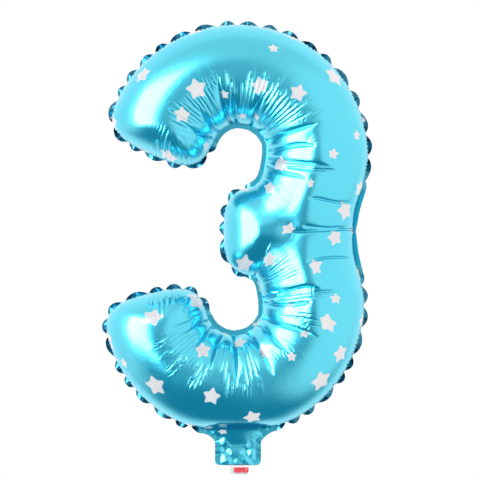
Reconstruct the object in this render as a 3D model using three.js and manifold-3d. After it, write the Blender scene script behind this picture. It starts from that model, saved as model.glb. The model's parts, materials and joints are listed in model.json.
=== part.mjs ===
// A foil number balloon in the shape of a 3, full of air and upright, with its front towards -Y.
//
// Two sheets of metallised film are welded together all round their edges, and the weld leaves a flat
// seam that stands out from the swollen body like a fin. Below the body the two sheets run on as a flat
// tail. A valve of two thin film plies passes up between the sheets of the tail. Its plies lie loose
// inside the body, where the pressure holds them shut, and their outer ends hang out below the tail.
//
// The real film is about 0.05 mm thick. Here each sheet has a thicker wall, so that it is a solid.
// Millimetres, +Z up. The origin is at the neck, where the tail begins, on the seam plane y = 0.

import * as THREE from "three";
import { LoftGeometry } from "three/addons/geometries/LoftGeometry.js";
import { mergeVertices } from "three/addons/utils/BufferGeometryUtils.js";
import Module from "manifold-3d";

const wasm = await Module();
wasm.setup();

// ---- Driving dimensions ----

// The numeral. Each lobe is a tube that bends round an open bay.
const lobeRadius = 63.5; // from the middle of a bay to the middle of the tube
const upperBay = { x: 0, z: 233 };
const lowerBay = { x: -3, z: 112.5 };
const tubeRadius = 38.2; // the swollen tube, without its seam
const depthShare = 0.98; // front to back, the tube is a little slimmer than it is wide
const middleArm = { tip: -10, z: 171, radius: 33, turn: 60 }; // turn is where the bay's arc ends
const upperArm = { turn: 155, straight: 27, radius: 40 }; // turn is where the arc ends, in degrees
const lowerArm = { turn: 166, straight: 24, radius: 39 };
const waist = { x: 48, z: 167, radius: 36.5 }; // where the tube that joins the lobes bends inwards
const endRounding = 28; // length over which an arm's end closes
const endFullness = 3; // 2 closes an end as a ball, and more makes it blunter
const closedShare = 0.02; // the share of its radius that an end closes to
const armShare = 0.35; // the share of a lobe's length over which the free arm becomes the tube
const middleShare = 0.4; // and over which the tube becomes the middle arm

// The film and its seam.
const sheetWall = 0.6;
const filmWall = 0.3; // one ply of the valve
const plyGap = 0.3; // between any two plies that lie on each other
const seamWidth = 4.4;

// The neck and the tail.
const neckTop = { z: 30, width: 60, depth: 40 }; // where the funnel starts, inside the lower lobe
const neckFlare = 0.8; // under 1, the funnel opens fastest at its foot
const tailWidth = 36.8;
const tailLength = 16; // from the fold line down to the tail's end
const tailCorner = 4;
const foldGap = 0.5; // from the fold line down to the tail
const foldClearance = 3; // from the fold line up to the body, so that the folded tail clears it

// The valve.
const valveWidth = 17;
const valveReach = 62; // how high the loose plies reach inside the body
const redWidth = 11.4;
const redLength = 5; // of the red end, below its bend line
const clearWidth = 14.6;
const clearLength = 6.4;
const clearShift = 1.3; // the clear end hangs a little to the right of the red one
const valveCorner = 2;
const tabGap = 0.9; // from the tail's end down to the line where the valve's ends bend
const bendGap = 0.4; // from a bend line to the film on each side of it

// Facets.
const facetsRound = 20; // round a tube
const facetsAlong = 34; // along a lobe
const facetsAlongSpine = 10;
const facetsAlongNeck = 6;
const cornerFacets = 4;

// ---- Solids ----

const cutSize = 1000; // a box that is larger than the balloon, for cutting it in half

function solidOf(geometry) {
  const bare = new THREE.BufferGeometry();
  bare.setAttribute("position", geometry.getAttribute("position"));
  bare.setIndex(geometry.index);
  const merged = mergeVertices(bare, 1e-3);
  return new wasm.Manifold(
    new wasm.Mesh({
      numProp: 3,
      vertProperties: merged.attributes.position.array,
      triVerts: new Uint32Array(merged.index.array),
    }),
  );
}

function geometryOf(solid) {
  const made = solid.getMesh();
  const geometry = new THREE.BufferGeometry();
  geometry.setAttribute("position", new THREE.BufferAttribute(made.vertProperties, 3));
  geometry.setIndex(new THREE.BufferAttribute(made.triVerts, 1));
  const faceted = geometry.toNonIndexed();
  faceted.computeVertexNormals();
  return faceted;
}

function box(low, high) {
  const size = high.clone().sub(low);
  const middle = low.clone().add(high).multiplyScalar(0.5);
  const geometry = new THREE.BoxGeometry(size.x, size.y, size.z);
  geometry.translate(middle.x, middle.y, middle.z);
  return solidOf(geometry);
}

// ---- The tubes of the numeral ----

const upward = 1; // the side of the middle arm on which a lobe lies
const downward = -1;

// The middle of a lobe's tube, from its free arm round its bay to the middle arm: a path in the XZ
// plane, drawn in 2D with z as the second coordinate. The offset makes it longer at both ends.
function lobeLine(side, bay, arm, offset) {
  const turn = side * THREE.MathUtils.degToRad(arm.turn);
  const centre = new THREE.Vector2(bay.x, bay.z);
  const outward = new THREE.Vector2(Math.cos(turn), Math.sin(turn));
  const arcStart = centre.clone().addScaledVector(outward, lobeRadius);
  const alongArm = new THREE.Vector2(-Math.sin(turn), Math.cos(turn)).multiplyScalar(side);
  const armEnd = arcStart.clone().addScaledVector(alongArm, arm.straight + offset);
  const turnIn = -side * THREE.MathUtils.degToRad(middleArm.turn);
  const inward = new THREE.Vector2(Math.cos(turnIn), Math.sin(turnIn));
  const arcEnd = centre.clone().addScaledVector(inward, lobeRadius);
  const leaving = new THREE.Vector2(inward.y, -inward.x).multiplyScalar(side);
  const bend = arcEnd.clone().addScaledVector(leaving, (middleArm.z - arcEnd.y) / leaving.y);
  return new THREE.Path()
    .moveTo(armEnd.x, armEnd.y)
    .lineTo(arcStart.x, arcStart.y)
    .absarc(bay.x, bay.z, lobeRadius, turn, turnIn, side === upward)
    .quadraticCurveTo(bend.x, bend.y, middleArm.tip - offset, middleArm.z);
}

function spineLine() {
  return new THREE.Path()
    .moveTo(upperBay.x + lobeRadius, upperBay.z)
    .quadraticCurveTo(waist.x, waist.z, lowerBay.x + lobeRadius, lowerBay.z);
}

// One section across a tube, square to its path, with its points in the seam plane's two directions.
function ringAt(path, share, radius) {
  const centre = path.getPointAt(share);
  const tangent = path.getTangentAt(share);
  const ring = [];
  for (let i = 0; i < facetsRound; i++) {
    const angle = (i / facetsRound) * 2 * Math.PI;
    const across = Math.cos(angle) * radius;
    const depth = -Math.sin(angle) * radius * depthShare; // so that the facets face outwards
    ring.push(
      new THREE.Vector3(centre.x - tangent.y * across, depth, centre.y + tangent.x * across),
    );
  }
  return ring;
}

function tube(path, radiusAt, steps) {
  const rings = [];
  for (let i = 0; i <= steps; i++) {
    // Sections lie closer together towards the ends, where the tube closes.
    const share = (1 - Math.cos((i / steps) * Math.PI)) / 2;
    rings.push(ringAt(path, share, radiusAt(share)));
  }
  return solidOf(new LoftGeometry(rings, { capStart: true, capEnd: true }));
}

// How far a tube's end has opened at a distance from its tip, from 0 to 1.
function opened(fromTip, rounding) {
  const left = Math.max(0, 1 - fromTip / rounding);
  return Math.pow(1 - Math.pow(left, endFullness), 1 / endFullness);
}

// A lobe's tube, from a free arm's end round its bay to the middle arm's tip. The offset makes it
// larger, as the seam needs, or smaller, as the inside of the wall needs.
function lobe(side, bay, arm, offset) {
  const path = lobeLine(side, bay, arm, offset);
  const length = path.getLength();
  const radiusAt = (share) => {
    const swell = THREE.MathUtils.smoothstep(share, 0, armShare);
    const slim = THREE.MathUtils.smoothstep(share, 1 - middleShare, 1);
    const arms = THREE.MathUtils.lerp(arm.radius, tubeRadius, swell);
    const full = THREE.MathUtils.lerp(arms, middleArm.radius, slim) + offset;
    const fromTip = Math.min(share, 1 - share) * length;
    return full * Math.max(closedShare, opened(fromTip, endRounding + offset));
  };
  return tube(path, radiusAt, facetsAlong);
}

function spine(offset) {
  const radiusAt = (share) => {
    const fromWaist = Math.abs(2 * share - 1);
    return THREE.MathUtils.lerp(waist.radius, tubeRadius, fromWaist * fromWaist) + offset;
  };
  return tube(spineLine(), radiusAt, facetsAlongSpine);
}

// Half the thickness of the four plies and their gaps where the valve passes through the neck.
const valveHalf = plyGap / 2 + filmWall;
const sleeveHalf = valveHalf + plyGap;
const neckHalf = sleeveHalf + sheetWall;

// The funnel that narrows from the lower lobe to the flat neck. It starts below the body's lower edge,
// where the body is cut, so that the cut opens it.
function funnel(offset) {
  const rings = [];
  for (let i = -1; i <= facetsAlongNeck; i++) {
    const share = i / facetsAlongNeck;
    const z = THREE.MathUtils.lerp(foldClearance, neckTop.z, share);
    const open = Math.pow(Math.max(0, share), neckFlare);
    const width = THREE.MathUtils.lerp(tailWidth / 2 - seamWidth, neckTop.width / 2, open) + offset;
    const depth = THREE.MathUtils.lerp(neckHalf, neckTop.depth / 2, open) + offset;
    const ring = [];
    for (let k = 0; k < facetsRound; k++) {
      const angle = (k / facetsRound) * 2 * Math.PI;
      ring.push(new THREE.Vector3(Math.cos(angle) * width, Math.sin(angle) * depth, z));
    }
    rings.push(ring);
  }
  return solidOf(new LoftGeometry(rings, { capStart: true, capEnd: true }));
}

// The whole swollen body, larger or smaller by an offset.
function body(offset) {
  return lobe(upward, upperBay, upperArm, offset)
    .add(lobe(downward, lowerBay, lowerArm, offset))
    .add(spine(offset))
    .add(funnel(offset));
}

// Everything above the fold line on one side of the seam plane, between two distances from it.
function slab(side, from, to) {
  return box(
    new THREE.Vector3(-cutSize, Math.min(side * from, side * to), foldClearance),
    new THREE.Vector3(cutSize, Math.max(side * from, side * to), cutSize),
  );
}

// One foil sheet of the body: half of the shell, with its ply of the seam.
function panel(side) {
  const inside = body(-sheetWall);
  const shell = body(0).intersect(slab(side, plyGap / 2, cutSize));
  const seam = body(seamWidth).intersect(slab(side, plyGap / 2, plyGap / 2 + sheetWall));
  return geometryOf(shell.add(seam).subtract(inside));
}

// ---- The flat plies of the tail and the valve ----

// A flat ply that stands in the XZ plane, from its top edge down, with round lower corners.
function ply({ width, top, bottom, corner, thickness, x = 0, y }) {
  const half = width / 2;
  const shape = new THREE.Shape()
    .moveTo(-half, top)
    .lineTo(-half, bottom + corner)
    .absarc(-half + corner, bottom + corner, corner, Math.PI, 1.5 * Math.PI, false)
    .lineTo(half - corner, bottom)
    .absarc(half - corner, bottom + corner, corner, 1.5 * Math.PI, 2 * Math.PI, false)
    .lineTo(half, top);
  const geometry = new THREE.ExtrudeGeometry(shape, {
    depth: thickness,
    bevelEnabled: false,
    curveSegments: cornerFacets,
  });
  geometry.rotateX(Math.PI / 2); // the outline's second coordinate becomes z
  geometry.translate(x, y + thickness / 2, 0);
  return geometry;
}

const tabLine = -tailLength - tabGap; // where the valve's outer ends bend

function tailPly(side) {
  return ply({
    width: tailWidth,
    top: -foldGap,
    bottom: -tailLength,
    corner: tailCorner,
    thickness: sheetWall,
    y: side * (sleeveHalf + sheetWall / 2),
  });
}

function sleevePly(side) {
  return ply({
    width: valveWidth,
    top: -foldGap,
    bottom: tabLine + bendGap,
    corner: valveCorner / 4,
    thickness: filmWall,
    y: side * (plyGap / 2 + filmWall / 2),
  });
}

function flapPly(side) {
  const geometry = ply({
    width: valveWidth,
    top: -foldClearance - bendGap,
    bottom: -valveReach,
    corner: valveCorner,
    thickness: filmWall,
    y: side * (plyGap / 2 + filmWall / 2),
  });
  return geometry.rotateX(Math.PI).translate(0, side * (plyGap + filmWall), 0); // turned to point up
}

function tabPly({ width, length, x, side }) {
  return ply({
    width,
    top: tabLine - bendGap,
    bottom: tabLine - length,
    corner: valveCorner / 2,
    thickness: filmWall,
    x,
    y: side * (plyGap / 2 + filmWall / 2),
  });
}

// ---- Materials ----

const front = -1; // the sides of the seam plane
const back = 1;

const foil = { color: 0x35bfd8, roughness: 0.22, metalness: 0.95 };
const clearFilm = { color: 0xe9ecec, roughness: 0.35, metalness: 0 };
const redFilm = { color: 0xe8384a, roughness: 0.45, metalness: 0 };

// ---- The balloon ----

const balloon = new THREE.Group();

function addNode(name, geometry, finish) {
  const mesh = new THREE.Mesh(geometry, new THREE.MeshStandardMaterial(finish));
  mesh.name = name;
  balloon.add(mesh);
}

addNode("front_foil_panel", panel(front), foil);
addNode("back_foil_panel", panel(back), foil);
addNode("tail_front_ply", tailPly(front), foil);
addNode("tail_back_ply", tailPly(back), foil);
addNode("valve_sleeve_front", sleevePly(front), clearFilm);
addNode("valve_sleeve_back", sleevePly(back), clearFilm);
addNode("valve_flap_front", flapPly(front), clearFilm);
addNode("valve_flap_back", flapPly(back), clearFilm);
addNode("valve_end_red", tabPly({ width: redWidth, length: redLength, x: 0, side: front }), redFilm);
addNode(
  "valve_end_clear",
  tabPly({ width: clearWidth, length: clearLength, x: clearShift, side: back }),
  clearFilm,
);

export default balloon;
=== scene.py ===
"""A foil number balloon, a 3, full of air: two welded sheets of printed film, a crumpled tail and a valve.

The two sheets are cut as flat film, laid over the shape that the air gives them, and then settled by a
cloth simulation that knows how much longer the film is than that shape. The spare film buckles into
the pleats round the bays and the petals of the seam. Film sizes are in millimetres, meshes in metres.
"""

import json
import math

import bpy
import numpy as np
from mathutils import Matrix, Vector, geometry


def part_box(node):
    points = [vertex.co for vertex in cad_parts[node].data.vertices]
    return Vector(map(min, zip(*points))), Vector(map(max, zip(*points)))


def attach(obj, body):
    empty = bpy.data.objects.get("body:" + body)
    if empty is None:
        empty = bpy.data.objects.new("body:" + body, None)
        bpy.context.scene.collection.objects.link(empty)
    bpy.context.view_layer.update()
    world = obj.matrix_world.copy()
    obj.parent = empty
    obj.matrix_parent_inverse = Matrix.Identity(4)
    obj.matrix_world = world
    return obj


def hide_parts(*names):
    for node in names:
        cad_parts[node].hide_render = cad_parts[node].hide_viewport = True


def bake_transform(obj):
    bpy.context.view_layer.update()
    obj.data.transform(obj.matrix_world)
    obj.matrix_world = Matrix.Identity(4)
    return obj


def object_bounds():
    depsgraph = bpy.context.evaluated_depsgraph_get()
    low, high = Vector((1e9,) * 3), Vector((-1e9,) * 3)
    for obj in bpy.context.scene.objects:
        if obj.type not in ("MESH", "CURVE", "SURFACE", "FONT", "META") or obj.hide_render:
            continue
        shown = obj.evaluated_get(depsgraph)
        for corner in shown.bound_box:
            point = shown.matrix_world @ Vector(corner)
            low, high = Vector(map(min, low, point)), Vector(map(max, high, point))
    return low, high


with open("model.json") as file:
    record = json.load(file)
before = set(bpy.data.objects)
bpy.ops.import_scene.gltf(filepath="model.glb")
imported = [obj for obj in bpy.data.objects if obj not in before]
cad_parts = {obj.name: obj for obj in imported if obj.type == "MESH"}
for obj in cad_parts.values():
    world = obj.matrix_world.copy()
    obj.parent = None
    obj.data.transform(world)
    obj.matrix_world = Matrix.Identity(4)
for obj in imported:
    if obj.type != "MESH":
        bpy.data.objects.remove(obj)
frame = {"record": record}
cad_box = [list(corner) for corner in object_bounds()]
record = frame["record"]

MM = 0.001

# ---- The camera: straight on, at the height of the middle arm ----

low, high = (np.array(corner) / MM for corner in cad_box)
FRAME_HEIGHT = 384.0  # what the picture holds, top to bottom
CAMERA_DISTANCE = 2300.0
SENSOR = 36.0

camera_data = bpy.data.cameras.new("camera")
camera_data.sensor_width = SENSOR
camera_data.lens = SENSOR * CAMERA_DISTANCE / FRAME_HEIGHT
camera = bpy.data.objects.new("camera", camera_data)
camera.location = (1.6 * MM, -CAMERA_DISTANCE * MM, (high[2] - 174.9) * MM)
camera.rotation_euler = (math.radians(90), 0, 0)
bpy.context.scene.collection.objects.link(camera)
bpy.context.scene.camera = camera


# ---- The sizes of the numeral, in millimetres ----


def opening(name):
    """The middle of one of the record's openings, as (x, z)."""
    for entry in record["physics"]["openings"]:
        if entry["name"] == name:
            corners = np.array(entry["box_m"]) / MM
            return corners.mean(0)[[0, 2]]
    raise KeyError(name)


UPPER_BAY = opening("upper_bay")
LOWER_BAY = opening("lower_bay")
panel_low, panel_high = (np.array(corner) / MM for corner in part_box("front_foil_panel"))
tail_low, tail_high = (np.array(corner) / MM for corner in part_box("tail_front_ply"))

SEAM = 4.4  # the weld's width
TUBE = 38.2  # the swollen tube's radius
LOBE = panel_high[0] - SEAM - TUBE + 0.2  # from the middle of a bay to the middle of the tube
MIDDLE_ARM = {"tip": -9.5, "z": 170.5, "radius": 32.5, "turn": 60.0}
UPPER_ARM = {"turn": 155.0, "straight": 28.5, "radius": 41.0}
LOWER_ARM = {"turn": 166.0, "straight": 24.0, "radius": 39.5}
WAIST = {"x": 46.5, "z": 169.0, "radius": 36.3}
END_ROUNDING = 28.0  # the length over which an arm closes
END_FULLNESS = 3.0
TAIL_FOOT = tail_low[2]
TAIL_HALF = tail_high[0]
TAIL_CORNER = 4.0
NECK_HALF = TAIL_HALF - SEAM  # the channel between the tail's two welds
BLEND = 12.0  # how sharply one tube meets the next


def smooth(x, start, end):
    t = np.clip((x - start) / (end - start), 0, 1)
    return t * t * (3 - 2 * t)


def lobe_line(side, bay, arm):
    """The middle of a lobe's tube, from its free arm round its bay to the middle arm."""
    turn = math.radians(arm["turn"])
    turn_in = -math.radians(MIDDLE_ARM["turn"])
    angles = np.linspace(turn, turn_in, 200)
    arc = bay + LOBE * np.stack([np.cos(angles), side * np.sin(angles)], 1)
    along_arm = np.array([-math.sin(turn), side * math.cos(turn)])
    straight = arc[0] + along_arm * arm["straight"] * np.linspace(1, 0, 20)[:, None]
    inward = np.array([math.cos(turn_in), side * math.sin(turn_in)])
    leaving = np.array([inward[1], -inward[0]]) * side
    bend = arc[-1] + leaving * (MIDDLE_ARM["z"] - arc[-1][1]) / leaving[1]
    tip = np.array([MIDDLE_ARM["tip"], MIDDLE_ARM["z"]])
    return np.concatenate([straight[:-1], arc[:-1], bent_line(arc[-1], bend, tip, 40)])


def bent_line(start, bend, end, steps):
    t = np.linspace(0, 1, steps)[:, None]
    return (1 - t) ** 2 * start + 2 * t * (1 - t) * bend + t**2 * end


def lobe_radius(arm):
    def radius(share):
        swollen = arm["radius"] + (TUBE - arm["radius"]) * smooth(share, 0, 0.35)
        return swollen + (MIDDLE_ARM["radius"] - swollen) * smooth(share, 0.6, 1)

    return radius


def spine_radius(share):
    return WAIST["radius"] + (TUBE - WAIST["radius"]) * (2 * share - 1) ** 2


def fullness_of(points, line, radius, open_ended):
    """1 on a tube's middle line, 0 at its edge and less outside, and the tube's radius there."""
    starts = line[:-1]
    runs = line[1:] - starts
    lengths = np.linalg.norm(runs, axis=1)
    directions = runs / lengths[:, None]
    before = np.concatenate([[0], np.cumsum(lengths)])
    full = np.empty(len(points))
    radii = np.empty(len(points))
    for first in range(0, len(points), 8000):
        part = points[first : first + 8000]
        rel = part[:, None, :] - starts[None]
        along = (rel * directions).sum(2)
        held = np.clip(along, 0, lengths)
        if not open_ended:
            held[:, 0] = np.minimum(along[:, 0], lengths[0])
            held[:, -1] = np.maximum(along[:, -1], 0)
        squared = (rel**2).sum(2) - 2 * along * held + held**2
        nearest = squared.argmin(1)
        row = np.arange(len(part))
        reach = before[nearest] + held[row, nearest]
        tube = radius(np.clip(reach / before[-1], 0, 1))
        out = np.sqrt(np.maximum(squared[row, nearest], 0)) / tube
        if not open_ended:
            for from_tip in (reach, before[-1] - reach):
                closing = np.maximum(0, 1 - from_tip / END_ROUNDING)
                closed = (out**END_FULLNESS + closing**END_FULLNESS) ** (1 / END_FULLNESS)
                out = np.where(closing > 0, closed, out)
        full[first : first + 8000] = 1 - out**2
        radii[first : first + 8000] = tube
    return full, radii


def neck_width(z):
    """Half the neck's width: straight at the tail and flaring up to the lower lobe."""
    return NECK_HALF + 14 * np.clip((z - 3) / 14, 0, 3) ** 1.6


def meet(a, b):
    """Two fullness fields joined with a soft corner."""
    top = np.maximum(a, b)
    return top + np.log(np.exp(BLEND * (a - top)) + np.exp(BLEND * (b - top))) / BLEND


# ---- The same fields on a grid, so that they are quick to read anywhere ----

GRID_STEP = 1.5
grid_low = np.array([low[0] - 12, TAIL_FOOT - 6])
grid_size = (np.array([high[0] + 12, high[2] + 8]) - grid_low) // GRID_STEP + 2
grid_x = grid_low[0] + GRID_STEP * np.arange(int(grid_size[0]))
grid_z = grid_low[1] + GRID_STEP * np.arange(int(grid_size[1]))


def make_fields():
    across, up = np.meshgrid(grid_x, grid_z, indexing="ij")
    points = np.stack([across.ravel(), up.ravel()], 1)
    tubes = [
        fullness_of(points, lobe_line(1, UPPER_BAY, UPPER_ARM), lobe_radius(UPPER_ARM), False),
        fullness_of(points, lobe_line(-1, LOWER_BAY, LOWER_ARM), lobe_radius(LOWER_ARM), False),
    ]
    top = UPPER_BAY + [LOBE, 0]
    foot = LOWER_BAY + [LOBE, 0]
    waist = np.array([WAIST["x"], WAIST["z"]])
    tubes.append(fullness_of(points, bent_line(top, waist, foot, 60), spine_radius, True))
    full = np.stack([tube[0] for tube in tubes])
    radii = np.stack([tube[1] for tube in tubes])
    top = np.maximum(full.max(0), -6)
    weight = np.exp(np.clip(BLEND * (full - top), -60, 60))
    body = np.maximum(top + np.log(weight.sum(0)) / BLEND, -6)
    radius = (weight * radii).sum(0) / weight.sum(0)
    neck = 1 - (points[:, 0] / neck_width(points[:, 1])) ** 2
    neck = np.maximum(neck - (np.maximum(0, points[:, 1] - 4) / 20) ** 4, -6)
    whole = meet(body, neck)
    return {
        name: field.reshape(across.shape)
        for name, field in {"body": body, "radius": radius, "whole": whole}.items()
    }


fields = make_fields()


def read(name, points):
    field = fields[name]
    a = (points[:, 0] - grid_low[0]) / GRID_STEP
    b = (points[:, 1] - grid_low[1]) / GRID_STEP
    i = np.clip(a.astype(int), 0, field.shape[0] - 2)
    j = np.clip(b.astype(int), 0, field.shape[1] - 2)
    a = a - i
    b = b - j
    near = field[i, j] * (1 - b) + field[i, j + 1] * b
    far = field[i + 1, j] * (1 - b) + field[i + 1, j + 1] * b
    return near * (1 - a) + far * a


def slope(name, points):
    step = GRID_STEP / 2
    across = read(name, points + [step, 0]) - read(name, points - [step, 0])
    up = read(name, points + [0, step]) - read(name, points - [0, step])
    return np.stack([across, up], 1) / (2 * step)


# ---- The flat film: its seam line, then a lattice of points inside it ----


def seam_line(step):
    """The seam, from the tail's right lower corner round the numeral to its left one, evenly spaced."""
    field = fields["whole"]
    crossings = []
    names = {}
    for way in (0, 1):
        here = field[:-1] if way == 0 else field[:, :-1]
        there = field[1:] if way == 0 else field[:, 1:]
        for i, j in zip(*np.nonzero((here > 0) != (there > 0))):
            share = here[i, j] / (here[i, j] - there[i, j])
            names[(way, i, j)] = len(crossings)
            crossings.append(
                (
                    grid_x[i] + (GRID_STEP * share if way == 0 else 0),
                    grid_z[j] + (GRID_STEP * share if way == 1 else 0),
                )
            )
    links = {index: [] for index in range(len(crossings))}
    for way, i, j in list(names):
        for cell in ((i, j), (i, j - 1) if way == 0 else (i - 1, j)):
            sides = ((0, *cell), (0, cell[0], cell[1] + 1), (1, *cell), (1, cell[0] + 1, cell[1]))
            found = [names[side] for side in sides if side in names]
            if len(found) == 2 and found[1] not in links[found[0]]:
                links[found[0]].append(found[1])
                links[found[1]].append(found[0])
    crossings = np.array(crossings)
    at_foot = [k for k in links if abs(crossings[k][1] - grid_z[grid_z > TAIL_FOOT][0]) < 1e-6]
    current = max(at_foot, key=lambda k: crossings[k][0])
    order = [current]
    seen = {current}
    # From the right foot the walk goes up, so a link to anything lower is not taken.
    while True:
        ahead = [k for k in links[current] if k not in seen and crossings[k][1] > TAIL_FOOT]
        if not ahead:
            break
        current = max(ahead, key=lambda k: crossings[k][1]) if len(order) == 1 else ahead[0]
        order.append(current)
        seen.add(current)
    line = crossings[order]
    line = np.concatenate([[[NECK_HALF, TAIL_FOOT]], line, [[-NECK_HALF, TAIL_FOOT]]])
    line = onto_seam(line)
    reach = np.concatenate([[0], np.cumsum(np.linalg.norm(np.diff(line, axis=0), axis=1))])
    even = np.linspace(0, reach[-1], int(round(reach[-1] / step)) + 1)
    line = np.stack([np.interp(even, reach, line[:, axis]) for axis in (0, 1)], 1)
    return onto_seam(line)


def onto_seam(line):
    for _ in range(3):
        rise = slope("whole", line)
        line = line - (read("whole", line) / (rise**2).sum(1))[:, None] * rise
    return line


def cut_film(step):
    """(points, triangles, points on the seam, points on the rim) of one sheet, laid flat."""
    line = seam_line(step)
    row_gap = step * math.sqrt(3) / 2
    rows = []
    for k, z in enumerate(np.arange(TAIL_FOOT + row_gap, high[2], row_gap)):
        x = np.arange(low[0] - step + (k % 2) * step / 2, high[0] + step, step)
        rows.append(np.stack([x, np.full(len(x), z)], 1))
    inside = np.concatenate(rows)
    full = read("whole", inside)
    from_seam = full / np.linalg.norm(slope("whole", inside), axis=1)
    inside = inside[(full > 0) & (from_seam > 0.55 * step)]
    foot_x = np.arange(line[-1][0] + step, line[0][0] - step / 2, step)
    foot = np.stack([foot_x, np.interp(foot_x, line[[-1, 0], 0], line[[-1, 0], 1])], 1)
    rim = np.concatenate([line, foot])
    points = np.concatenate([rim, inside])
    around = [(k, (k + 1) % len(rim)) for k in range(len(rim))]
    made = geometry.delaunay_2d_cdt([Vector(p) for p in points], around, [], 1, 1e-5)
    return np.array([p[:] for p in made[0]]), np.array(made[2]), len(line), len(rim)


def swollen(x):
    """cos(pi / 2 * sqrt(x)), carried on smoothly below 0."""
    x = x * (math.pi / 2) ** 2
    outside = np.cosh(np.sqrt(np.maximum(-x, 0)))
    return np.where(x > 0, np.cos(np.sqrt(np.maximum(x, 0))), outside)


def lay_over(points):
    """Where the air holds each point of the flat film, and how near the seam it is, from 0 to 1."""
    full = read("body", points)
    radius = read("radius", points)
    out = np.sqrt(np.clip(1 - full, 1e-4, 1))
    depth = np.maximum(radius * swollen(np.clip(1 - full, -0.5, 1)), 0)
    # The bulge runs down into the neck as a narrowing V.
    z = points[:, 1]
    up = np.clip(z + 1 - 0.3 * np.abs(points[:, 0]), 0, 60)
    half = 2 + 2.1 * up + 0.02 * up**2
    across = np.minimum(np.abs(points[:, 0]) / half, 1)
    bulge = 1.7 * up * np.cos(math.pi / 2 * across) ** 0.8
    near_neck = (1 - smooth(np.abs(points[:, 0]), 12, 48)) * (1 - smooth(z, 28, 56))
    lower = (np.maximum(depth, 0.01) ** -3.0 + np.maximum(bulge, 0.01) ** -3.0) ** (-1 / 3)
    depth = (1 - near_neck) * depth + near_neck * lower
    channel = 0.9 + 0.42 * np.clip(z - 1, 0, 14)
    channel = channel * np.clip(1 - (points[:, 0] / neck_width(z)) ** 2, 0, 1) * (1 - smooth(z, 13, 30))
    depth = (depth**3 + channel**3) ** (1 / 3)
    uphill = -slope("body", points) / (2 * out)[:, None]
    steep = (uphill**2).sum(1)
    amount = np.where((full > 0) & (full < 1), np.sin(math.pi / 2 * out) - out, 0)
    amount = amount * (1 - (1 - smooth(np.abs(points[:, 0]), 14, 40)) * (1 - smooth(z, 6, 34)))
    place = points + uphill * (amount / np.maximum(steep, 1 / radius**2))[:, None]
    return np.stack([place[:, 0], depth, place[:, 1]], 1), np.sqrt(np.clip(1 - full, 0, 1))


def averaged(values, reach, times=1):
    """A running mean along the seam."""
    for _ in range(times):
        padded = np.concatenate([np.repeat(values[:1], reach, 0), values, np.repeat(values[-1:], reach, 0)])
        total = np.cumsum(padded, axis=0)
        total = np.concatenate([total[:1] * 0, total])
        values = (total[2 * reach + 1 :] - total[: -2 * reach - 1]) / (2 * reach + 1)
    return values


# ---- The creases and the pleats ----

# Long creases run out from a bay's rim: the bay, the way they run in degrees, where they start and
# end from the bay's middle, and how deep they are.
LONG_CREASES = [
    ("upper", 133, 28, 50, 0.7),
    ("upper", 106, 27, 60, 1.0),
    ("upper", 95, 27, 52, 0.7),
    ("upper", 66, 27, 54, 0.9),
    ("upper", 44, 27, 40, 0.7),
    ("upper", 21, 27, 64, 0.9),
    ("upper", 5, 29, 60, 0.6),
    ("upper", -9, 28, 72, 0.8),
    ("upper", -22, 30, 56, 0.5),
    ("upper", 152, 30, 50, 0.6),
    ("lower", -89, 27, 60, 1.0),
    ("lower", -61, 27, 62, 0.9),
    ("lower", -113, 34, 54, 0.8),
    ("lower", -134, 28, 48, 0.7),
    ("lower", -21, 27, 66, 1.0),
    ("lower", 13, 27, 66, 0.8),
    ("lower", 2, 30, 60, 0.6),
    ("lower", -40, 29, 58, 0.6),
    ("lower", -152, 30, 46, 0.6),
]

# Level creases across the tube behind the middle arm: height, from and to in x, depth.
LEVEL_CREASES = [
    (171.3, 42, 90, 0.42),
    (174.5, 52, 76, 0.3),
    (219.5, 45, 73, 0.5),
    (122.0, 29, 74, 0.6),
    (125.0, 34, 66, 0.4),
    (119.0, 36, 70, 0.3),
    (196.0, 58, 84, 0.25),
    (148.0, 56, 82, 0.25),
]


def crease_lines():
    lines = []
    for bay, way, start, end, depth in LONG_CREASES:
        middle = UPPER_BAY if bay == "upper" else LOWER_BAY
        along = np.array([math.cos(math.radians(way)), math.sin(math.radians(way))])
        lines.append((middle + along * start, middle + along * end, depth))
    for z, start, end, depth in LEVEL_CREASES:
        lines.append((np.array([start, z]), np.array([end, z + 0.8]), depth))
    return lines


def creased(points, width):
    """How deep each point lies in a crease, from 0 to 1, with each crease fading at its ends."""
    deep = np.zeros(len(points))
    for start, end, depth in crease_lines():
        length = np.linalg.norm(end - start)
        along = (end - start) / length
        rel = points - start
        t = rel @ along / length
        wander = 0.9 * np.sin(5.0 * t + start[0])
        off = np.abs(rel @ np.array([-along[1], along[0]]) - wander)
        fade = smooth(t, -0.05, 0.1) * (1 - smooth(t, 0.7, 1.05))
        deep = np.maximum(deep, depth * fade * np.exp(-((off / width) ** 2)))
    return deep


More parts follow.
